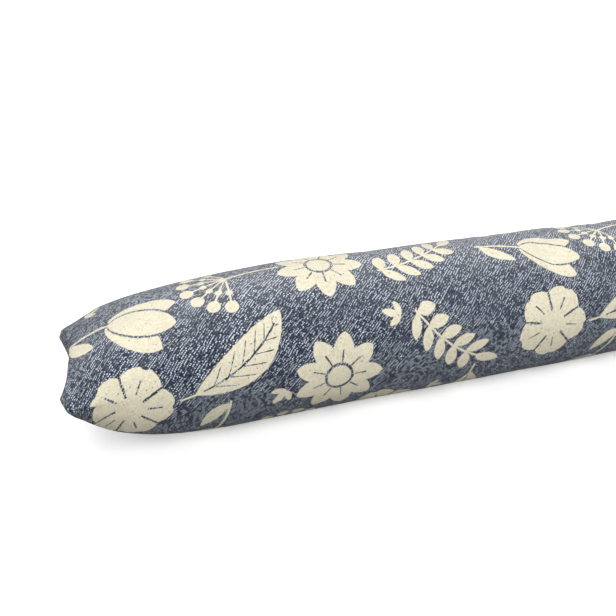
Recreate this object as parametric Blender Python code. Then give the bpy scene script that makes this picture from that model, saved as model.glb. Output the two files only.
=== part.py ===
"""Draught excluder: a stuffed cloth tube that lies along the foot of a door.

One cloth is wrapped round the filling, closed along the back and sewn flat across both ends. Each
end has two ears, with the seam drawn in between them, and the round body swells up behind it.
The tube lies along X with its front towards -Y. The origin is on the floor under its middle.
Sizes are in metres and +Z is up.
"""

import math
from collections import namedtuple

import bmesh
import bpy
from mathutils import noise

LENGTH = 0.900
BODY_WIDTH = 0.131
BODY_HEIGHT = 0.122
PRESSED_DEPTH = 0.0045  # how much of the round underside the floor presses flat

# The swell from an end seam to the full body, over the top, under the belly and at the sides. A
# power of 2 swells as a quarter of an ellipse does, and a higher one is blunter.
CROWN_RUN = 0.220
CROWN_POWER = 2.15
BELLY_RUN = 0.134
BELLY_POWER = 2.30
SIDE_RUN = 0.034
SIDE_POWER = 2.0
SEAM_EDGE_RUN = 0.038  # the sharp side fold at an ear is round again this far in
EAR_ROUNDING = 0.010

# The lumps of the filling.
LUMP_HEIGHT = 0.0011
LUMP_SPACING = 0.075
LUMP_ORIGIN = 3.7

# One closed grid of the cloth: stations along the tube, and turns round it.
STATIONS = 72
TURNS = 40
STATION_EVENNESS = 0.12  # 0 crowds the stations into the ends, and 1 spaces them evenly
WELD_DISTANCE = 0.00005

CLOTH_COLOUR = (0.135, 0.160, 0.215, 1.0)
CLOTH_ROUGHNESS = 0.92

# side: -1 is the left end. ear_span: between the ear tips. dip: how far the seam is drawn in.
# neck: how much the side is drawn in behind the ears. tilt: the seam's slope, front up, in degrees.
End = namedtuple("End", "side ear_span seam_height dip dip_run neck neck_inset tilt")
ENDS = (
    End(-1, 0.099, 0.064, 0.0070, 0.060, 0.0030, 0.036, -6.0),
    End(+1, 0.103, 0.061, 0.0085, 0.056, 0.0035, 0.038, 5.0),
)
TILT_RUN = 0.160

# The main creases, which start at an end seam and fade along the tube. across: from -1 at the
# front ear to +1 at the back ear. reach: how far along the tube. spread: half of the width.
Crease = namedtuple("Crease", "side across reach spread depth")
CREASES = (
    Crease(-1, +0.12, 0.075, 0.30, 0.0042),
    Crease(-1, +0.70, 0.048, 0.16, 0.0026),
    Crease(-1, -0.62, 0.040, 0.15, 0.0018),
    Crease(+1, -0.05, 0.070, 0.28, 0.0040),
    Crease(+1, -0.68, 0.050, 0.17, 0.0026),
    Crease(+1, +0.55, 0.044, 0.16, 0.0020),
)


def fade(distance, run):
    """1 at an end, falling smoothly to 0 at the end of the run."""
    left = max(0.0, 1.0 - distance / run)
    return left * left * (3.0 - 2.0 * left)


def swell(inset, run, power):
    """How full the body is at this inset from the end: 0 at the seam and 1 past the run."""
    if inset >= run:
        return 1.0
    return (1.0 - (1.0 - inset / run) ** power) ** (1.0 / power)


def station_inset(share):
    """(end, inset): the nearer end and the distance from its ear tips, for a share of the grid."""
    centred = 2.0 * share - 1.0
    crowded = math.sin(0.5 * math.pi * centred)
    place = crowded + (centred - crowded) * STATION_EVENNESS
    end = ENDS[0] if place < 0.0 else ENDS[1]
    return end, 0.5 * LENGTH * (1.0 - abs(place))


def half_width(end, inset):
    """Half of the tube's width: rounded at the ear tips, drawn in behind them, then the body."""
    ear, body = 0.5 * end.ear_span, 0.5 * BODY_WIDTH
    width = ear + (body - ear) * swell(inset, SIDE_RUN, SIDE_POWER)
    width -= end.neck * fade(abs(inset - end.neck_inset), end.neck_inset)
    if inset < EAR_ROUNDING:
        left = 1.0 - inset / EAR_ROUNDING
        width -= EAR_ROUNDING * (1.0 - math.sqrt(1.0 - left * left))
    return width


def crease_depth(end, inset, across):
    """How deep the creases of this end are at one place."""
    depth = 0.0
    for crease in CREASES:
        if crease.side == end.side:
            offset = (across - crease.across) / crease.spread
            depth += crease.depth * math.exp(-offset * offset) * fade(inset, crease.reach)
    return depth


def cover_point(along, around):
    """The place of one point of the cloth, from its shares of the grid along and around."""
    end, inset = station_inset(along)
    turn = 2.0 * math.pi * around
    across, rise = math.cos(turn), math.sin(turn)
    width = half_width(end, inset)

    # A section is round in the body, and a pointed lens of two arcs at the seam.
    edge = fade(inset, SEAM_EDGE_RUN)
    bulge = math.copysign(abs(rise) ** (1.0 + edge), rise)
    middle = 0.5 * BODY_HEIGHT - 0.5 * PRESSED_DEPTH
    level = middle + (end.seam_height - middle) * fade(inset, BELLY_RUN)
    if rise >= 0.0:
        height = (BODY_HEIGHT - level) * swell(inset, CROWN_RUN, CROWN_POWER)
    else:
        height = (level + PRESSED_DEPTH) * swell(inset, BELLY_RUN, BELLY_POWER)

    # The creases and the lumps draw the cloth towards the section's middle.
    full = swell(inset, BELLY_RUN, BELLY_POWER)
    creased = crease_depth(end, inset, across) * full
    cell = (end.side * (0.5 * LENGTH - inset) / LUMP_SPACING, across, rise + LUMP_ORIGIN)
    shrink = 1.0 - (creased + LUMP_HEIGHT * (1.0 + noise.noise(cell)) * full) / (0.5 * BODY_HEIGHT)
    y = width * across * (1.0 - (1.0 - shrink) * abs(rise))
    z = height * bulge * shrink

    tilt = math.radians(end.tilt) * fade(inset, TILT_RUN)
    y, z = y * math.cos(tilt) + z * math.sin(tilt), z * math.cos(tilt) - y * math.sin(tilt)
    drawn_in = end.dip * (1.0 - across * across) * fade(inset, end.dip_run)
    x = end.side * (0.5 * LENGTH - inset - drawn_in)
    return x, y, max(0.0, level + z)


def cloth_material():
    """Navy chambray, matt."""
    material = bpy.data.materials.new("chambray")
    material.use_nodes = True
    shader = material.node_tree.nodes["Principled BSDF"]
    shader.inputs["Base Color"].default_value = CLOTH_COLOUR
    shader.inputs["Roughness"].default_value = CLOTH_ROUGHNESS
    shader.inputs["Metallic"].default_value = 0.0
    material.diffuse_color = CLOTH_COLOUR
    return material


def filled_tube(collection):
    """The filled cover as one solid: a flat cut of cloth, wrapped round and sewn shut."""
    cloth = bmesh.new()
    bmesh.ops.create_grid(cloth, x_segments=STATIONS, y_segments=TURNS, size=1.0)
    for vertex in cloth.verts:
        vertex.co = cover_point(0.5 + 0.5 * vertex.co.x, 0.5 - 0.5 * vertex.co.y)
    bmesh.ops.remove_doubles(cloth, verts=cloth.verts, dist=WELD_DISTANCE)
    mesh = bpy.data.meshes.new("filled_cover")
    cloth.to_mesh(mesh)
    cloth.free()
    mesh.shade_smooth()
    mesh.materials.append(cloth_material())
    cover = bpy.data.objects.new("filled_cover", mesh)
    collection.objects.link(cover)
    return cover


def main():
    for obj in list(bpy.data.objects):
        bpy.data.objects.remove(obj, do_unlink=True)
    collection = bpy.data.collections.new("draught_excluder")
    bpy.context.scene.collection.children.link(collection)
    filled_tube(collection)


main()
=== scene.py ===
"""Draught excluder: a stuffed tube of printed twill, as it lies on the floor along the foot of a door.

One cut of printed cloth is wrapped round the filling, closed along the back and sewn flat across
both ends. The cover is wrapped from a flat grid, inflated as cloth, and then given the puckers of
its seams. Its weave and its cream print are drawn on the cloth's own map, in metres.
"""

from __future__ import annotations

import logging
import math
from dataclasses import dataclass
from enum import Enum
from typing import Callable

import bpy
import numpy as np
from mathutils import Matrix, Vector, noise


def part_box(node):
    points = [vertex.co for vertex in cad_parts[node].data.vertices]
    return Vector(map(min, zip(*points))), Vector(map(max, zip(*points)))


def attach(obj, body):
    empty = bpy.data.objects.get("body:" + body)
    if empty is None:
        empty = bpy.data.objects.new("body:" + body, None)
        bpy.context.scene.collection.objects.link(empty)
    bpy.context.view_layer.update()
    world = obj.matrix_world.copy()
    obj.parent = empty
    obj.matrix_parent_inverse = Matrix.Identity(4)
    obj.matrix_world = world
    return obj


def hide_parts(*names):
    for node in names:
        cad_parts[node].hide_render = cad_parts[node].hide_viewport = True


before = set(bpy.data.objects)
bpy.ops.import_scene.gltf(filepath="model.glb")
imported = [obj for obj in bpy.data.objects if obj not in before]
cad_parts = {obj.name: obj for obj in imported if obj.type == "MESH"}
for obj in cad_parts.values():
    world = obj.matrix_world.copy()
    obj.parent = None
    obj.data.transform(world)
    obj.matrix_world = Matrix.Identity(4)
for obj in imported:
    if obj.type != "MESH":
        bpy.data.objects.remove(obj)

LOG = logging.getLogger("draught_excluder")
COVER_NODE = "filled_cover"
CLOTH_MAP = "ClothMetres"
SQUARE_MAP = "OFBake"
PLACES = ("inset", "across", "rise", "back_seam")
MM = 0.001
BLADE_MARGIN = 0.8
Colour = tuple[float, float, float, float]


@dataclass(frozen=True)
class End:
    """One sewn end of the tube, in metres and degrees.

    The side is -1 for the left end. The dip is how far the seam is drawn in between the ears, and
    the neck is how far the sides are drawn in behind them. A tilt above 0 lifts the front ear.
    """

    side: int
    ear_span: float
    seam_height: float
    dip: float
    dip_run: float
    neck: float
    neck_inset: float
    tilt: float


@dataclass(frozen=True)
class Crease:
    """A soft trough that starts at an end seam and fades along the tube.

    It lies across from -1, at the front ear, to +1, at the back ear. A rise above 0 keeps it to the
    upper side of the cloth, and one below 0 to the underside.
    """

    side: int
    across: float
    reach: float
    spread: float
    depth: float
    rise: int = 0


ENDS = (
    End(-1, 0.099, 0.064, 0.0064, 0.060, 0.0030, 0.036, -3.0),
    End(+1, 0.103, 0.061, 0.0085, 0.056, 0.0035, 0.038, 5.0),
)
CREASES = (
    Crease(-1, +0.12, 0.075, 0.30, 0.0042),
    Crease(-1, +0.70, 0.048, 0.16, 0.0026),
    Crease(-1, +0.80, 0.022, 0.05, 0.0022, 1),
    Crease(-1, -0.62, 0.040, 0.15, 0.0018),
    Crease(+1, -0.05, 0.070, 0.28, 0.0040),
    Crease(+1, -0.68, 0.050, 0.17, 0.0026),
    Crease(+1, +0.55, 0.044, 0.16, 0.0020),
)


def fade(distance: np.ndarray, run: float) -> np.ndarray:
    """Falls smoothly from 1 at distance 0 to 0 at the run.

    Args:
        distance: Distances in metres.
        run: The distance at which nothing is left.

    Returns:
        The shares that are left.
    """
    left = np.clip(1.0 - distance / run, 0.0, 1.0)
    return left * left * (3.0 - 2.0 * left)


def swell(inset: np.ndarray, run: float, power: float) -> np.ndarray:
    """How full the body is: 0 at the end seam and 1 past the run.

    Args:
        inset: Distances from the ear tips, in metres.
        run: Where the body is full.
        power: 2 swells as a quarter of an ellipse does, and a higher one is blunter.

    Returns:
        The shares of the full body.
    """
    left = np.clip(1.0 - inset / run, 0.0, 1.0)
    return (1.0 - left**power) ** (1.0 / power)


def noise_at(places: np.ndarray) -> np.ndarray:
    """Smooth noise from -1 to 1 at each row of an array of places."""
    return np.array([noise.noise(place) for place in places.tolist()])


def only_select(piece: bpy.types.Object) -> None:
    """Deselects everything and makes one piece selected and active."""
    bpy.ops.object.select_all(action="DESELECT")
    piece.select_set(True)
    bpy.context.view_layer.objects.active = piece


def set_points(mesh: bpy.types.Mesh, points: np.ndarray) -> None:
    """Moves a mesh's vertices to an array of points."""
    mesh.vertices.foreach_set("co", points.astype(np.float32).ravel())
    mesh.update()


def points_of(mesh: bpy.types.Mesh) -> np.ndarray:
    """A mesh's vertices as an array of points."""
    found = np.empty(len(mesh.vertices) * 3, np.float32)
    mesh.vertices.foreach_get("co", found)
    return found.reshape(-1, 3).astype(float)


def normals_of(mesh: bpy.types.Mesh) -> np.ndarray:
    """A mesh's vertex normals as an array."""
    found = np.empty(len(mesh.vertices) * 3, np.float32)
    mesh.vertex_normals.foreach_get("vector", found)
    return found.reshape(-1, 3).astype(float)


def store(mesh: bpy.types.Mesh, name: str, values: np.ndarray) -> None:
    """Keeps one number for each vertex under a name, which later modifiers carry along."""
    layer = mesh.attributes.new(name, "FLOAT", "POINT")
    layer.data.foreach_set("value", values.astype(np.float32).ravel())


def stored(mesh: bpy.types.Mesh, name: str) -> np.ndarray:
    """Reads what store() kept."""
    found = np.empty(len(mesh.vertices), np.float32)
    mesh.attributes[name].data.foreach_get("value", found)
    return found.astype(float)


@dataclass
class TubeForm:
    """The stuffed tube's shape as a formula, with all sizes in metres."""

    length: float
    width: float
    height: float
    pressed: float = 0.0045
    crown_run: float = 0.220
    crown_power: float = 2.15
    belly_run: float = 0.134
    belly_power: float = 2.30
    side_run: float = 0.034
    side_power: float = 2.0
    edge_run: float = 0.038
    under_edge: float = 0.40
    ear_rounding: float = 0.010
    dip_power: float = 1.5
    tilt_run: float = 0.160
    lump_height: float = 0.0011
    lump_spacing: float = 0.075
    lump_origin: float = 3.7
    evenness: float = 0.42

    def inset_of(self, along: np.ndarray) -> tuple[np.ndarray, np.ndarray]:
        """Where each station lies.

        Args:
            along: Shares of the grid from the left end to the right end.

        Returns:
            Whether each is nearer to the right end, and its distance from that end's ear tips.
        """
        centred = 2.0 * along - 1.0
        crowded = np.sin(0.5 * math.pi * centred)
        place = crowded + (centred - crowded) * self.evenness
        return place > 0.0, 0.5 * self.length * (1.0 - np.abs(place))

    def half_width(self, end: End, inset: np.ndarray) -> np.ndarray:
        """Half of the width: rounded at the ear tips, drawn in behind them, then the body."""
        ear, body = 0.5 * end.ear_span, 0.5 * self.width
        width = ear + (body - ear) * swell(inset, self.side_run, self.side_power)
        width = width - end.neck * fade(np.abs(inset - end.neck_inset), end.neck_inset)
        left = np.clip(1.0 - inset / self.ear_rounding, 0.0, 1.0)
        return width - self.ear_rounding * (1.0 - np.sqrt(1.0 - left * left))

    def crease_depth(self, end: End, inset: np.ndarray, across: np.ndarray, rise: np.ndarray) -> np.ndarray:
        """How deep this end's creases are at each place."""
        depth = np.zeros_like(inset)
        for crease in CREASES:
            if crease.side == end.side:
                offset = (across - crease.across) / crease.spread
                part = crease.depth * np.exp(-offset * offset) * fade(inset, crease.reach)
                depth += part * (rise * crease.rise >= 0.0)
        return depth

    def end_points(self, end: End, inset: np.ndarray, around: np.ndarray) -> np.ndarray:
        """The cloth's points in one half of the tube.

        Args:
            end: The end that this half belongs to.
            inset: Distances from its ear tips.
            around: Turns round the tube from 0 to 1, from the back over the top to the front.

        Returns:
            The points, one row each.
        """
        turn = 2.0 * math.pi * around
        across, rise = np.cos(turn), np.sin(turn)
        width = self.half_width(end, inset)
        sharp = fade(inset, self.edge_run) * np.where(rise < 0.0, self.under_edge, 1.0)
        bulge = np.copysign(np.abs(rise) ** (1.0 + sharp), rise)
        middle = 0.5 * (self.height - self.pressed)
        level = middle + (end.seam_height - middle) * fade(inset, self.belly_run)
        top = (self.height - level) * swell(inset, self.crown_run, self.crown_power)
        full = swell(inset, self.belly_run, self.belly_power)
        height = np.where(rise >= 0.0, top, (level + self.pressed) * full)

        creased = self.crease_depth(end, inset, across, rise) * full
        place = end.side * (0.5 * self.length - inset)
        cells = np.stack([place / self.lump_spacing, across, rise + self.lump_origin], axis=1)
        lumps = self.lump_height * (1.0 + noise_at(cells)) * full
        shrink = 1.0 - (creased + lumps) / (0.5 * self.height)
        y = width * across * (1.0 - (1.0 - shrink) * np.abs(rise))
        z = height * bulge * shrink

        tilt = np.radians(end.tilt) * fade(inset, self.tilt_run)
        y, z = y * np.cos(tilt) + z * np.sin(tilt), z * np.cos(tilt) - y * np.sin(tilt)
        drawn_in = end.dip * (1.0 - across * across) ** self.dip_power * fade(inset, end.dip_run)
        return np.stack([place - end.side * drawn_in, y, level + z], axis=1)

    def points(self, along: np.ndarray, around: np.ndarray) -> np.ndarray:
        """The cloth's points from shares of the grid along and around the tube."""
        right, inset = self.inset_of(along)
        made = np.empty((len(along), 3))
        for end, chosen in zip(ENDS, (~right, right)):
            made[chosen] = self.end_points(end, inset[chosen], around[chosen])
        return made


@dataclass
class PaddedCover:
    """The cover with its filling: wrapped from a flat grid, inflated and sewn.

    The two counts are the grid's faces along and around the tube. The other fields are in metres,
    apart from the cloth's own settings, the share of a turn at which the print is centred, the gap
    as a share of the square map, and the fold's place and width as shares of the tube's height.
    """

    stations: int = 236
    turns: int = 100
    slimmer: float = 0.0055
    weld: float = 0.00002
    print_centre: float = 0.36
    map_gap: float = 0.01
    pressure: float = 3.0
    growth: float = 0.020
    frames: int = 20
    cap: float = 0.004
    end_cap: float = 0.0016
    end_cap_run: float = 0.060
    seam_hold: float = 0.0045
    groove: float = 0.0013
    groove_width: float = 0.0035
    stitch_pitch: float = 0.011
    stitch_unevenness: float = 0.35
    pucker: float = 0.0008
    pucker_run: float = 0.024
    pucker_pitch: float = 0.0062
    pucker_length: float = 0.030
    fold_groove: float = 0.0022
    fold_rise: float = -0.07
    fold_width: float = 0.10
    fold_start: float = 0.012
    fold_run: float = 0.040
    fold_shift: float = 0.022

    def build(self) -> bpy.types.Object:
        """Makes the whole cover.

        Returns:
            The finished piece, with its place in its mesh.
        """
        low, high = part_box(COVER_NODE)
        form = TubeForm(high.x - low.x, high.y - low.y - self.slimmer, high.z - low.z - 0.5 * self.slimmer)
        cover = self._wrapped(form)
        self._inflate(cover)
        self._rest_on_floor(cover)
        self._subdivide(cover)
        self._sew(cover)
        self._rest_on_floor(cover)
        for name in PLACES:
            cover.data.attributes.remove(cover.data.attributes[name])
        only_select(cover)
        bpy.ops.object.shade_smooth()
        return cover

    def _wrapped(self, form: TubeForm) -> bpy.types.Object:
        """Wraps a flat grid round the form, lays out its map and sews it shut."""
        bpy.ops.object.select_all(action="DESELECT")
        counts = {"x_subdivisions": self.stations, "y_subdivisions": self.turns}
        bpy.ops.mesh.primitive_grid_add(size=2.0, calc_uvs=False, **counts)
        cover = bpy.context.active_object
        cover.name = cover.data.name = "stuffed_cover"
        mesh = cover.data
        flat = points_of(mesh)
        along, around = 0.5 + 0.5 * flat[:, 0], 0.5 - 0.5 * flat[:, 1]
        points = form.points(along, around)
        set_points(mesh, points)

        inset, turn = form.inset_of(along)[1], 2.0 * math.pi * around
        at_back = np.minimum(around, 1.0 - around) < 0.5 / self.turns
        for name, values in zip(PLACES, (inset, np.cos(turn), np.sin(turn), at_back)):
            store(mesh, name, values)
        self._lay_out(mesh, points, around, inset)
        only_select(cover)
        bpy.ops.object.mode_set(mode="EDIT")
        bpy.ops.mesh.select_all(action="SELECT")
        bpy.ops.mesh.remove_doubles(threshold=self.weld)
        bpy.ops.object.mode_set(mode="OBJECT")
        return cover

    def _lay_out(
        self, mesh: bpy.types.Mesh, points: np.ndarray, around: np.ndarray, inset: np.ndarray
    ) -> None:
        """Gives the cloth its maps: one in metres along the cloth itself, and one that fills a square.

        The first has v growing from the back over the top to the front, and under the fold beside an
        end seam its print is shifted. The second has the tube's two halves one above the other.

        Args:
            mesh: The wrapped grid, not yet welded, so that the maps have their cut at the back seam.
            points: The grid's points.
            around: Each point's turn round the tube.
            inset: Each point's distance from the nearer end.
        """
        rows = points.reshape(self.turns + 1, self.stations + 1, 3)
        steps_u = np.linalg.norm(np.diff(rows, axis=1), axis=2)
        u = np.concatenate([np.zeros((self.turns + 1, 1)), np.cumsum(steps_u, axis=1)], axis=1)
        u -= u[:, self.stations // 2][:, None]
        steps_v = np.linalg.norm(np.diff(rows, axis=0), axis=2)
        v = np.concatenate([np.zeros((1, self.stations + 1)), np.cumsum(steps_v, axis=0)], axis=0)
        centre = int(np.argmin(np.abs(around.reshape(v.shape)[:, 0] - self.print_centre)))
        v = v[centre][None, :] - v

        corners = np.empty(len(mesh.loops), np.int32)
        mesh.loops.foreach_get("vertex_index", corners)
        u, v, inset, around = u.ravel()[corners], v.ravel()[corners], inset[corners], around[corners]
        under = np.repeat(around.reshape(-1, 4).mean(axis=1) > 0.5, 4)
        right = np.repeat(u.reshape(-1, 4).mean(axis=1) > 0.0, 4)
        fold = np.where(under, self.fold_shift * fade(inset, self.fold_run), 0.0)
        self._add_map(mesh, CLOTH_MAP, u, v - fold)
        reach = np.abs(u).max()
        wide = (u + np.where(right, 0.0, reach)) / reach
        high = (v - v.min()) / (v.max() - v.min())
        gap, room = self.map_gap, 1.0 - 2.0 * self.map_gap
        self._add_map(mesh, SQUARE_MAP, gap + wide * room, 0.5 * (gap + high * room + right))

    def _add_map(self, mesh: bpy.types.Mesh, name: str, u: np.ndarray, v: np.ndarray) -> None:
        """Adds one map to the cloth, from the places of its faces' corners."""
        layer = mesh.uv_layers.new(name=name)
        layer.uv.foreach_set("vector", np.stack([u, v], axis=1).astype(np.float32).ravel())

    def _inflate(self, cover: bpy.types.Object) -> None:
        """Swells the cover as cloth under pressure, held at its end seams, and applies the result."""
        mesh = cover.data
        start = points_of(mesh)
        inset = stored(mesh, "inset")
        held = cover.vertex_groups.new(name="sewn_ends")
        for index in np.nonzero(inset < self.seam_hold)[0].tolist():
            held.add([index], float(1.0 - inset[index] / self.seam_hold), "REPLACE")
        cloth = cover.modifiers.new("stuffing", "CLOTH")
        settings = cloth.settings
        settings.quality = 6
        settings.mass = 0.25
        settings.tension_stiffness = 18.0
        settings.compression_stiffness = 12.0
        settings.shear_stiffness = 6.0
        settings.bending_stiffness = 0.35
        settings.use_pressure = True
        settings.uniform_pressure_force = self.pressure
        settings.shrink_min = -self.growth
        settings.shrink_max = -self.growth
        settings.vertex_group_mass = held.name
        settings.pin_stiffness = 1.0
        settings.effector_weights.gravity = 0.0
        cloth.collision_settings.use_collision = False
        cloth.collision_settings.use_self_collision = False
        cloth.point_cache.frame_start = 1
        cloth.point_cache.frame_end = self.frames
        scene = bpy.context.scene
        for number in range(1, self.frames + 1):
            scene.frame_set(number)
        only_select(cover)
        bpy.ops.object.modifier_apply(modifier=cloth.name)
        scene.frame_set(1)
        moved = points_of(mesh) - start
        far = np.linalg.norm(moved, axis=1)
        LOG.info("inflated: moved %.1f mm on average, %.1f mm at most", far.mean() / MM, far.max() / MM)
        cap = self.cap - (self.cap - self.end_cap) * fade(inset, self.end_cap_run)
        set_points(mesh, start + moved * (cap / np.maximum(far, cap))[:, None])
        cover.vertex_groups.clear()

    def _rest_on_floor(self, cover: bpy.types.Object) -> None:
        """Presses what reaches below the floor flat."""
        points = points_of(cover.data)
        points[:, 2] = np.maximum(points[:, 2], 0.0)
        set_points(cover.data, points)

    def _subdivide(self, cover: bpy.types.Object) -> None:
        """Adds one smooth subdivision and applies it."""
        modifier = cover.modifiers.new("finer", "SUBSURF")
        modifier.levels = modifier.render_levels = 1
        modifier.boundary_smooth = "PRESERVE_CORNERS"
        modifier.uv_smooth = "NONE"
        only_select(cover)
        bpy.ops.object.modifier_apply(modifier=modifier.name)

    def _sew(self, cover: bpy.types.Object) -> None:
        """Draws in the seams, puckers the cloth beside them and presses the fold into each front ear."""
        mesh = cover.data
        points, normals = points_of(mesh), normals_of(mesh)
        inset, across, rise, back = (stored(mesh, name) for name in PLACES)
        between = 1.0 - across**4  # the seams lie flat at the ears
        side, upper = np.sign(points[:, 0]), np.sign(rise)

        own = 3.1 * side + 1.7 * upper  # each end has its own puckers, above and below
        cells = [points[:, 1] / self.pucker_pitch, inset / self.pucker_length, own]
        puckers = noise_at(np.stack(cells, axis=1)) * fade(inset, self.pucker_run)
        depth = self.pucker * puckers * between * np.clip(inset / self.seam_hold, 0.0, 1.0)
        depth -= self.groove * fade(inset, self.groove_width) * between

        stitches = np.stack([points[:, 0] / self.stitch_pitch, 4.2 + 0.0 * inset, 0.0 * inset], axis=1)
        tightness = 1.0 + self.stitch_unevenness * noise_at(stitches)
        depth -= self.groove * back * tightness * (1.0 - fade(inset, self.pucker_run))

        under = np.exp(-(((rise - self.fold_rise) / self.fold_width) ** 2)) * (across < 0.0)
        fold = under * fade(inset, self.fold_run) * np.clip(inset / self.fold_start, 0.0, 1.0)
        depth -= self.fold_groove * fold
        set_points(mesh, points + normals * depth[:, None])


@dataclass(frozen=True)
class Number:
    """A number in a material's graph, on which Python's operators add Math nodes."""

    graph: Graph
    socket: object

    def __add__(self, other: Number | float) -> Number:
        """Adds."""
        return self.graph.math("ADD", self, other)

    def __radd__(self, other: float) -> Number:
        """Adds, with the number on the left."""
        return self.graph.math("ADD", other, self)

    def __sub__(self, other: Number | float) -> Number:
        """Subtracts."""
        return self.graph.math("SUBTRACT", self, other)

    def __rsub__(self, other: float) -> Number:
        """Subtracts from the number on the left."""
        return self.graph.math("SUBTRACT", other, self)

    def __mul__(self, other: Number | float) -> Number:
        """Multiplies."""
        return self.graph.math("MULTIPLY", self, other)

    def __rmul__(self, other: float) -> Number:
        """Multiplies, with the number on the left."""
        return self.graph.math("MULTIPLY", other, self)

    def __truediv__(self, other: Number | float) -> Number:
        """Divides."""
        return self.graph.math("DIVIDE", self, other)

    def __neg__(self) -> Number:
        """Turns the sign."""
        return self.graph.math("MULTIPLY", self, -1.0)

    def __abs__(self) -> Number:
        """Drops the sign."""
        return self.graph.math("ABSOLUTE", self)

    def __pow__(self, power: float) -> Number:
        """Raises to a power."""
        return self.graph.math("POWER", self, power)

    def __mod__(self, step: float) -> Number:
        """The remainder, which is never below 0."""
        return self.graph.math("FLOORED_MODULO", self, step)

    def floor(self) -> Number:
        """Rounds down."""
        return self.graph.math("FLOOR", self)

    def least(self, other: Number | float) -> Number:
        """The smaller of two."""
        return self.graph.math("MINIMUM", self, other)

    def most(self, other: Number | float) -> Number:
        """The larger of two."""
        return self.graph.math("MAXIMUM", self, other)

    def step(self, low: float, high: float) -> Number:
        """Rises smoothly from 0 at low to 1 at high, which may be the smaller number.

        Args:
            low: Where it is 0.
            high: Where it is 1.

        Returns:
            The share.
        """
        share = self.graph.math("MULTIPLY_ADD", self, 1.0 / (high - low), -low / (high - low))
        share = share.most(0.0).least(1.0)
        return share * share * (3.0 - 2.0 * share)


class Graph:
    """The node graph of one material."""

    def __init__(self, name: str) -> None:
        """Starts an empty material with its output and its cloth shader."""
        self.material = bpy.data.materials.new(name)
        self.material.use_nodes = True
        self.tree = self.material.node_tree
        self.shader = self.tree.nodes["Principled BSDF"]

    def add(self, kind: str, settings: dict, inputs: dict) -> bpy.types.Node:
        """Adds one node.

        Args:
            kind: The node's type.
            settings: Its properties, which are set first.
            inputs: Values or links for its sockets, by name or number.

        Returns:
            The node.
        """
        node = self.tree.nodes.new(kind)
        for key, value in settings.items():
            setattr(node, key, value)
        for key, value in inputs.items():
            self.feed(node.inputs[key], value)
        return node

    def feed(self, socket: bpy.types.NodeSocket, value: object) -> None:
        """Links a socket, or sets it where the value is a plain one."""
        source = value.socket if isinstance(value, Number) else value
        if isinstance(source, bpy.types.NodeSocket):
            self.tree.links.new(source, socket)
        else:
            socket.default_value = source

    def math(self, operation: str, *operands: Number | float) -> Number:
        """Adds a Math node and gives its result."""
        node = self.add("ShaderNodeMath", {"operation": operation}, dict(enumerate(operands)))
        return Number(self, node.outputs[0])

    def mix(self, share: Number, first: object, second: object, blend: str = "MIX") -> bpy.types.NodeSocket:
        """Mixes two colours.

        Args:
            share: 0 gives the first and 1 the second.
            first: A colour or a link.
            second: A colour or a link.
            blend: How the second goes onto the first.

        Returns:
            The mixed colour.
        """
        settings = {"data_type": "RGBA", "blend_type": blend}
        node = self.add("ShaderNodeMix", settings, {0: share, 6: first, 7: second})
        return node.outputs[2]

    def noise(self, place: object, scale: float, detail: float = 2.0) -> Number:
        """Smooth noise from 0 to 1 at a place."""
        inputs = {"Vector": place, "Scale": scale, "Detail": detail}
        return Number(self, self.add("ShaderNodeTexNoise", {}, inputs).outputs["Fac"])

    def chance(self, place: object) -> Number:
        """One random number from 0 to 1 for each place."""
        node = self.add("ShaderNodeTexWhiteNoise", {"noise_dimensions": "3D"}, {"Vector": place})
        return Number(self, node.outputs["Value"])

    def vector(self, x: object, y: object, z: object = 0.0) -> bpy.types.NodeSocket:
        """Joins three numbers."""
        return self.add("ShaderNodeCombineXYZ", {}, {0: x, 1: y, 2: z}).outputs[0]


def ranged(share: Number, limits: tuple[float, float]) -> Number:
    """Spreads a share from 0 to 1 between two limits."""
    return limits[0] + (limits[1] - limits[0]) * share


def blade(x: Number, y: Number, length: float, half_width: float, blunt: float) -> Number:
    """A leaf or petal that starts at 0 and points along x, in millimetres.

    Args:
        x: Along the blade.
        y: Across it.
        length: Its length.
        half_width: Half of its greatest width.
        blunt: 0.5 has round ends as an ellipse does, and 1 has pointed ones.

    Returns:
        About the distance to its edge, below 0 inside.
    """
    share = (x * (1.0 / length)).most(0.0).least(1.0)
    hump = (share * (1.0 - share) * 4.0) ** blunt
    return abs(y) - hump * half_width + BLADE_MARGIN * (1.0 - hump)


def disc(x: Number, y: Number, radius: float) -> Number:
    """The distance to a circle round 0, below 0 inside."""
    return x.graph.math("SQRT", x * x + y * y) - radius


def turned(x: Number, y: Number, degrees: float) -> tuple[Number, Number]:
    """The coordinates of a place in axes that are turned by an angle."""
    c, s = math.cos(math.radians(degrees)), math.sin(math.radians(degrees))
    return x * c + y * s, y * c - x * s


def sectors(x: Number, y: Number, count: int, offset: float = 0.0) -> tuple[Number, Number, Number]:
    """Folds the plane into equal sectors, so that what is drawn once repeats round the middle.

    Args:
        x: Along the first sector's middle.
        y: Across it.
        count: How many sectors.
        offset: Turns the sectors by a share of one.

    Returns:
        The radius, and the place along and across the sector's middle.
    """
    graph = x.graph
    radius = disc(x, y, 0.0)
    sector = 2.0 * math.pi / count
    angle = graph.math("ARCTAN2", y, x) + sector * (offset + 0.5)
    angle = angle % sector - 0.5 * sector
    return radius, radius * graph.math("COSINE", angle), radius * graph.math("SINE", angle)


def daisy(x: Number, y: Number) -> Number:
    """An open flower of nine petals round a button."""
    radius, along, across = sectors(x, y, 9)
    petals = blade(along - 5.0, across, 26.0, 7.2, 0.62)
    vein = (abs(across) - 0.45).most(along - 19.0).most(10.5 - along)
    gap = abs(radius - 9.2) - 0.9
    return petals.most(-vein).least(radius - 9.0).most(-gap)


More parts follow.
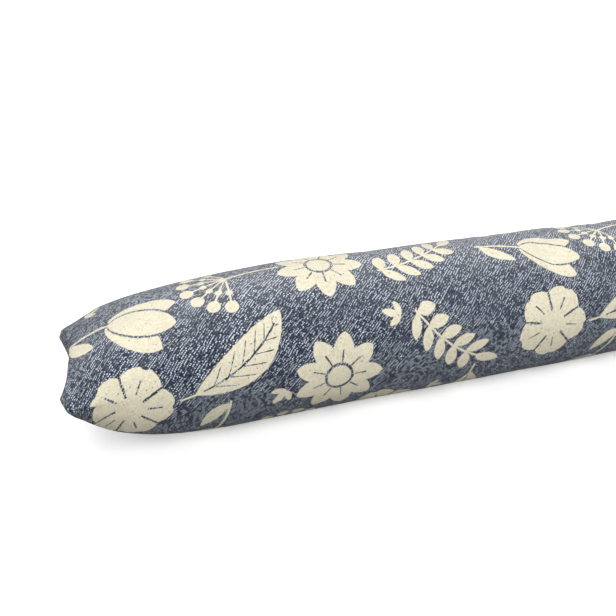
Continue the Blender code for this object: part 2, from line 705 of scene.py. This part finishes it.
def blossom(x: Number, y: Number) -> Number:
    """A broad flower of five notched petals."""
    radius, along, across = sectors(x, y, 5)
    petals = disc(along - 16.5, across * 0.93, 14.0)
    notch = -disc(along - 34.0, across, 5.0)
    vein = (abs(across) - 0.5).most(along - 22.0).most(12.5 - along)
    between = sectors(x, y, 5, 0.5)[2]
    slit = (abs(between) - 0.8).most(10.5 - radius)
    return petals.most(notch).least(radius - 12.0).most(-slit).most(-vein)


def tulip(x: Number, y: Number) -> Number:
    """A closed flower of three petals on a bent stem with one leaf."""
    bent = y - x * x * 0.0045
    heart = blade(x + 8.0, y, 46.0, 10.5, 0.62)
    side_x, side_y = turned(x + 8.0, abs(y), 19.0)
    sides = blade(side_x, side_y - 3.0, 45.0, 9.0, 0.62).most(1.4 - heart)
    stem = (abs(bent) - 1.1).most(x + 2.0).most(-42.0 - x)
    leaf_x, leaf_y = turned(x + 40.0, bent, 30.0)
    leaf = blade(leaf_x, leaf_y + leaf_x * (leaf_x - 30.0) * 0.01, 32.0, 4.8, 0.8)
    return heart.least(sides).least(stem).least(leaf)


def sprig(x: Number, y: Number) -> Number:
    """A curved stem with pairs of leaves and one at the tip."""
    bent = y + x * x * 0.0045 - 3.0
    within = (x + 39.0) % 13.5
    leaf_x, leaf_y = turned(within - 0.8, abs(bent), 55.0)
    leaves = blade(leaf_x, leaf_y, 19.0, 4.6, 0.72).most(abs(x + 5.0) - 33.0)
    stem = (abs(bent) - 0.9).most(abs(x) - 40.0)
    tip = blade(x - 26.0, bent, 22.0, 5.0, 0.72)
    return leaves.least(stem).least(tip)


def broad_leaf(x: Number, y: Number) -> Number:
    """One curved leaf with a midrib and side veins."""
    bent = y + x * x * 0.0058 - 4.5
    body = blade(x + 40.0, bent, 80.0, 14.5, 0.78)
    rib = (abs(bent) - 0.65).most(x - 30.0)
    veins = (abs((x - abs(bent) * 1.25) % 11.0 - 5.5) - 0.5).most(body + 3.2)
    stalk = (abs(bent) - 1.0).most(-49.0 - x).most(x + 34.0)
    return body.most(-rib).most(-veins).least(stalk)


def seed_head(x: Number, y: Number) -> Number:
    """Rays that fan out from a stem, each with a bead at its tip."""
    start = x + 6.0
    radius, along, across = sectors(start, y, 15)
    rays = (abs(across) - 0.8).most(radius - 30.0)
    beads = disc(along - 31.0, across, 5.0).least(disc(along - 18.0, across, 2.8))
    fan = rays.least(beads).most(turned(start, abs(y), 84.0)[1])
    stem = (abs(y + x * x * 0.004) - 1.1).most(x + 4.0).most(-46.0 - x)
    return fan.least(stem)


def leaflets(x: Number, y: Number) -> Number:
    """Three small leaves that open from one point."""
    heart = blade(x + 4.0, y, 17.0, 3.2, 0.7)
    side_x, side_y = turned(x + 4.0, abs(y), 52.0)
    return heart.least(blade(side_x, side_y, 13.0, 2.7, 0.7))


class Motif(Enum):
    """The forms of the print."""

    DAISY = "daisy"
    BLOSSOM = "blossom"
    TULIP = "tulip"
    SPRIG = "sprig"
    BROAD_LEAF = "broad leaf"
    SEED_HEAD = "seed head"
    LEAFLETS = "leaflets"


DRAWN: dict[Motif, Callable[[Number, Number], Number]] = {
    Motif.DAISY: daisy,
    Motif.BLOSSOM: blossom,
    Motif.TULIP: tulip,
    Motif.SPRIG: sprig,
    Motif.BROAD_LEAF: broad_leaf,
    Motif.SEED_HEAD: seed_head,
    Motif.LEAFLETS: leaflets,
}


@dataclass(frozen=True)
class Stamp:
    """One motif in the repeat: its centre in millimetres, its turn in degrees and its size."""

    motif: Motif
    u: float
    v: float
    turn: float
    size: float = 1.0


STAMPS = (
    Stamp(Motif.BLOSSOM, 40.0, 44.0, 10.0, 1.06),
    Stamp(Motif.BROAD_LEAF, 124.0, 26.0, -34.0, 1.06),
    Stamp(Motif.DAISY, 196.0, 58.0, 0.0, 1.16),
    Stamp(Motif.SPRIG, 292.0, 44.0, 38.0, 1.05),
    Stamp(Motif.TULIP, 98.0, 103.0, 118.0, 1.1),
    Stamp(Motif.SEED_HEAD, 160.0, 121.0, -72.0),
    Stamp(Motif.BLOSSOM, 240.0, 118.0, 40.0, 1.1),
    Stamp(Motif.BROAD_LEAF, 328.0, 122.0, 66.0, 1.06),
    Stamp(Motif.DAISY, 26.0, 186.0, 12.0, 1.14),
    Stamp(Motif.SPRIG, 110.0, 190.0, -24.0, 1.05),
    Stamp(Motif.TULIP, 212.0, 199.0, 22.0, 1.16),
    Stamp(Motif.SEED_HEAD, 290.0, 183.0, 165.0, 1.05),
    Stamp(Motif.LEAFLETS, 246.0, 16.0, 200.0),
    Stamp(Motif.LEAFLETS, 38.0, 112.0, 80.0, 1.05),
    Stamp(Motif.LEAFLETS, 190.0, 158.0, -20.0, 0.9),
    Stamp(Motif.LEAFLETS, 152.0, 64.0, 130.0),
    Stamp(Motif.LEAFLETS, 284.0, 94.0, 10.0, 0.9),
)


@dataclass(frozen=True)
class FlowerPrint:
    """The print: loose flowers and leaves in a half-drop repeat, in millimetres."""

    repeat_u: float = 344.0
    repeat_v: float = 226.0
    start_u: float = -98.0
    start_v: float = 2.0

    def distance(self, u: Number, v: Number) -> Number:
        """About the distance to the edge of the print, below 0 where it is printed.

        Args:
            u: The place along the cloth.
            v: The place across the cloth.

        Returns:
            The distance in millimetres.
        """
        found = None
        for stamp in STAMPS:
            y = v - (self.start_v + stamp.v)
            within = (y + 0.5 * self.repeat_v) % self.repeat_v - 0.5 * self.repeat_v
            drop = (y - within) * (0.5 * self.repeat_u / self.repeat_v)
            x = u - (self.start_u + stamp.u) + drop
            x = (x + 0.5 * self.repeat_u) % self.repeat_u - 0.5 * self.repeat_u
            x, y = turned(x * (1.0 / stamp.size), within * (1.0 / stamp.size), stamp.turn)
            shape = DRAWN[stamp.motif](x, y)
            found = shape if found is None else found.least(shape)
        return found


@dataclass(frozen=True)
class Weave:
    """The weave at each place of the cloth, all from 0 to 1.

    Attributes:
        pale: How much of the pale weft shows, fullest along its middle.
        height: The cloth's height, highest along the middle of each thread.
        cell: A random number for each crossing.
        warp_slub: The uneven thickness of the threads across the tube.
        weft_slub: The uneven thickness of the threads along it.
    """

    pale: Number
    height: Number
    cell: Number
    warp_slub: Number
    weft_slub: Number


@dataclass(frozen=True)
class PrintedTwill:
    """Navy cotton in a fine twill with pale flecks, printed in cream.

    Lengths are in millimetres, apart from the bump's depth in metres, and the scales of the noises
    are in waves for each millimetre. Blocks and slubs are counted in threads. The pairs whose names
    end in pale say how much of the weft shows at the least and at the most, as multiples of what
    shows on average. The thin_cells and thin_slubs values say how far the ink gives way to the beige
    over single crossings and where thick threads cross; the beige in the weave's hollows is painted
    shade. Crossings whose random number lies above
    the stray pair are dark threads that show through the ink.
    """

    thread: float = 0.86
    sway: float = 6.0
    sway_scale: float = 0.022
    wobble: float = 1.8
    wobble_scale: float = 0.16
    block: float = 2.5
    slub: float = 3.0
    slips: float = 2.0
    cell_pale: tuple[float, float] = (0.60, 1.40)
    warp_pale: tuple[float, float] = (0.35, 1.40)
    weft_pale: tuple[float, float] = (0.45, 1.35)
    block_pale: tuple[float, float] = (0.06, 2.66)
    cloud_pale: tuple[float, float] = (0.60, 1.30)
    cloud_scale: float = 0.045
    fray_scale: float = 0.28
    fray: float = 1.2
    ragged: float = 0.35
    edge_half: float = 0.3
    thin_cells: float = 0.25
    # painted shade: how far the ink turns beige in the weave's hollows
    painted_hollow_shade: float = 0.3
    thin_slubs: float = 0.6
    stray_threads: tuple[float, float] = (0.992, 0.998)
    stray_dark: float = 0.7
    warp: Colour = (0.013, 0.021, 0.052, 1.0)
    weft: Colour = (0.72, 0.81, 0.90, 1.0)
    cream: Colour = (0.86, 0.82, 0.64, 1.0)
    beige: Colour = (0.62, 0.54, 0.38, 1.0)
    sheen: float = 0.06
    sheen_roughness: float = 0.5
    specular: float = 1.0
    roughness: float = 0.60
    printed_roughness: float = 0.90
    bump_depth: float = 0.00022
    design: FlowerPrint = FlowerPrint()

    def material(self) -> bpy.types.Material:
        """Makes the cloth's material on the cloth's own map.

        Returns:
            The material.
        """
        graph = Graph("printed_twill")
        chart = graph.add("ShaderNodeUVMap", {"uv_map": CLOTH_MAP}, {}).outputs["UV"]
        parts = graph.add("ShaderNodeSeparateXYZ", {}, {0: chart}).outputs
        u, v = Number(graph, parts[0]) * (1.0 / MM), Number(graph, parts[1]) * (1.0 / MM)
        weave = self._weave(graph, u, v)

        frayed = (graph.noise(graph.vector(u, v, 6.0), self.fray_scale, 2.0) - 0.5) * self.fray
        edge = self.design.distance(u, v) + frayed + (weave.height - 0.5) * self.ragged
        printed = edge.step(self.edge_half, -self.edge_half)
        colour = graph.mix(printed, self._dyed(graph, u, v, weave), self._inked(graph, weave))
        graph.feed(graph.shader.inputs["Base Color"], colour)
        rough = self.roughness - printed * (self.roughness - self.printed_roughness)
        graph.feed(graph.shader.inputs["Roughness"], rough)
        relief = {"Height": weave.height, "Distance": self.bump_depth, "Strength": 1.0}
        graph.feed(graph.shader.inputs["Normal"], graph.add("ShaderNodeBump", {}, relief).outputs["Normal"])
        graph.shader.inputs["Sheen Weight"].default_value = self.sheen
        graph.shader.inputs["Sheen Roughness"].default_value = self.sheen_roughness
        graph.shader.inputs["Specular IOR Level"].default_value = self.specular
        graph.material.diffuse_color = self.warp
        return graph.material

    def _weave(self, graph: Graph, u: Number, v: Number) -> Weave:
        """Lays the threads: a twill in which each weft thread passes over one warp thread in three."""
        sway = graph.noise(graph.vector(u, v), self.sway_scale, 1.0) * self.sway
        wobble = graph.noise(graph.vector(u, v, 3.0), self.wobble_scale, 1.0) * self.wobble
        warp_place = (u + sway + wobble) * (1.0 / self.thread)
        weft_place = (v + sway - wobble) * (1.0 / self.thread)
        warp_row, weft_row = warp_place.floor(), weft_place.floor()
        across_warp = abs(warp_place - warp_row - 0.5) * 2.0
        across_weft = abs(weft_place - weft_row - 0.5) * 2.0
        cell = graph.chance(graph.vector(warp_row, weft_row, 0.5))
        block = self._patch(graph, warp_row, weft_row, self.block, self.block)
        warp_slub = self._patch(graph, warp_row, weft_row, 1.0, self.slub)
        weft_slub = self._patch(graph, warp_row, weft_row, self.slub, 1.0)
        slip = (block * self.slips).floor()
        over = graph.math("LESS_THAN", (warp_row + weft_row + slip) % 3.0, 0.5)
        low = across_warp**2.0 * ranged(over, (0.8, 0.3)) + across_weft**2.0 * ranged(over, (0.1, 0.8))
        pale = over * across_weft.step(1.1, 0.7) * across_warp.step(1.3, 0.8) * ranged(cell, self.cell_pale)
        pale = pale * ranged(warp_slub, self.warp_pale) * ranged(weft_slub, self.weft_pale)
        pale = pale * ranged(block**1.5, self.block_pale)
        return Weave(pale.least(1.0), 1.0 - low.least(1.0), cell, warp_slub, weft_slub)

    def _patch(self, graph: Graph, warp_row: Number, weft_row: Number, warps: float, wefts: float) -> Number:
        """A random number from 0 to 1 for each patch of the weave, so many threads wide and high."""
        wide, high = (warp_row * (1.0 / warps)).floor(), (weft_row * (1.0 / wefts)).floor()
        return graph.chance(graph.vector(wide, high, warps + 0.1 * wefts))

    def _dyed(self, graph: Graph, u: Number, v: Number, weave: Weave) -> bpy.types.NodeSocket:
        """The bare twill's colour: navy warp, uneven in its dye, under flecks of the pale weft, and darker
        in the weave's hollows as painted shade.
        """
        cloud = graph.noise(graph.vector(u, v, 4.0), self.cloud_scale, 3.0)
        # painted shade: the navy darkens in the weave's hollows; the slub factor is uneven dye
        dye_and_hollow_shade = ranged(weave.height, (0.45, 1.0)) * ranged(weave.warp_slub, (0.4, 1.6))
        navy = graph.mix(1.0, self.warp, graph.vector(dye_and_hollow_shade, dye_and_hollow_shade, dye_and_hollow_shade), "MULTIPLY")
        return graph.mix((weave.pale * ranged(cloud, self.cloud_pale)).least(1.0), navy, self.weft)

    def _inked(self, graph: Graph, weave: Weave) -> bpy.types.NodeSocket:
        """The print's colour: cream ink, thinner over random crossings and where thick threads cross, beige
        in the weave's hollows as painted shade, with a dark thread here and there.
        """
        # painted shade: the ink turns beige in the weave's hollows; over random crossings and thick threads
        # it is thin ink
        thin_ink_and_hollow_shade = weave.cell.step(0.3, 1.0) * self.thin_cells + (1.0 - weave.height) * self.painted_hollow_shade
        thin_ink_and_hollow_shade = thin_ink_and_hollow_shade + weave.warp_slub * weave.weft_slub * self.thin_slubs
        ink = graph.mix(thin_ink_and_hollow_shade.least(1.0), self.cream, self.beige)
        return graph.mix(weave.cell.step(*self.stray_threads) * self.stray_dark, ink, self.warp)


@dataclass(frozen=True)
class Studio:
    """A plain pale floor under plain soft light, and the camera. Angles are in degrees."""

    floor_side: float = 60.0
    floor_colour: Colour = (0.95, 0.95, 0.945, 1.0)
    floor_glow: float = 0.25
    sky: float = 0.11
    ceiling: float = 0.95
    ceiling_spread: float = 180.0
    key: float = 2.95
    key_tilt: float = 52.0
    rim: float = 0.95
    shine: float = 2.7
    rim_tilt: float = -36.0
    spread: float = 60.0
    turn: float = -20.0
    camera_place: tuple[float, float, float] = (-0.4071, -0.4529, 0.3152)
    camera_yaw: float = 18.652
    camera_pitch: float = 26.151
    camera_roll: float = -0.191
    lens: float = 38.065
    sensor: float = 36.0

    def build(self) -> None:
        """Makes the floor, the light and the camera."""
        self._floor()
        self._light()
        self._camera()

    def _floor(self) -> None:
        """Lays the floor, which isn't part of the object."""
        bpy.ops.object.select_all(action="DESELECT")
        bpy.ops.mesh.primitive_plane_add(size=self.floor_side)
        floor = bpy.context.active_object
        floor.name = floor.data.name = "pale_floor"
        graph = Graph("matt_floor")
        graph.shader.inputs["Base Color"].default_value = self.floor_colour
        graph.shader.inputs["Roughness"].default_value = 1.0
        graph.shader.inputs["Specular IOR Level"].default_value = 0.0
        graph.shader.inputs["Emission Color"].default_value = self.floor_colour
        graph.shader.inputs["Emission Strength"].default_value = self.floor_glow
        floor.data.materials.append(graph.material)
        floor.visible_diffuse = floor.visible_glossy = False  # it would light the tube's underside

    def _light(self) -> None:
        """Hangs a broad soft light over the front, an even one above and two behind, in a dim room."""
        world = bpy.data.worlds.new("white_room")
        world.use_nodes = True
        world.node_tree.nodes["Background"].inputs["Color"].default_value = (1.0, 1.0, 1.0, 1.0)
        world.node_tree.nodes["Background"].inputs["Strength"].default_value = self.sky
        bpy.context.scene.world = world
        key = self._lamp("soft_key", self.key, self.spread, self.key_tilt)
        ceiling = self._lamp("white_ceiling", self.ceiling, self.ceiling_spread, 0.0)
        key.visible_glossy = ceiling.visible_glossy = False  # they would lay a haze over the dark cloth
        self._lamp("soft_rim", self.rim, self.spread, self.rim_tilt)
        self._lamp("soft_shine", self.shine, self.spread, self.rim_tilt).visible_diffuse = False
        bpy.context.scene.view_settings.view_transform = "Standard"

    def _lamp(self, name: str, strength: float, spread: float, tilt: float) -> bpy.types.Object:
        """Adds light that comes from above, spread over an angle.

        Args:
            name: The lamp's name.
            strength: How bright it is.
            spread: The angle over which it is spread.
            tilt: How far it leans to the front from straight above.

        Returns:
            The lamp.
        """
        light = bpy.data.lights.new(name, "SUN")
        light.energy = strength
        light.angle = math.radians(spread)
        lamp = bpy.data.objects.new(name, light)
        lamp.rotation_euler = (math.radians(tilt), 0.0, math.radians(self.turn))
        bpy.context.scene.collection.objects.link(lamp)
        return lamp

    def _camera(self) -> None:
        """Sets the camera at the angle from which the tube is seen."""
        camera = bpy.data.cameras.new("view")
        camera.lens = self.lens
        camera.sensor_width = self.sensor
        camera.clip_start = 0.01
        turn = Matrix.Rotation(math.radians(-self.camera_yaw), 4, "Z")
        tilt = Matrix.Rotation(math.radians(90.0 - self.camera_pitch), 4, "X")
        roll = Matrix.Rotation(math.radians(self.camera_roll), 4, "Z")
        stand = bpy.data.objects.new("view", camera)
        stand.matrix_world = Matrix.Translation(self.camera_place) @ turn @ tilt @ roll
        bpy.context.scene.collection.objects.link(stand)
        bpy.context.scene.camera = stand


def main() -> None:
    """Builds the cover and the studio, hangs the cover on its body and logs its faces."""
    logging.basicConfig(level=logging.INFO, format="%(name)s: %(message)s")
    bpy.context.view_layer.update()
    cover = PaddedCover().build()
    cover.data.materials.clear()
    cover.data.materials.append(PrintedTwill().material())
    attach(cover, "root")
    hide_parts(COVER_NODE)
    LOG.info("%s: %d faces", cover.name, len(cover.data.polygons))
    Studio().build()


if __name__ == "__main__":
    main()
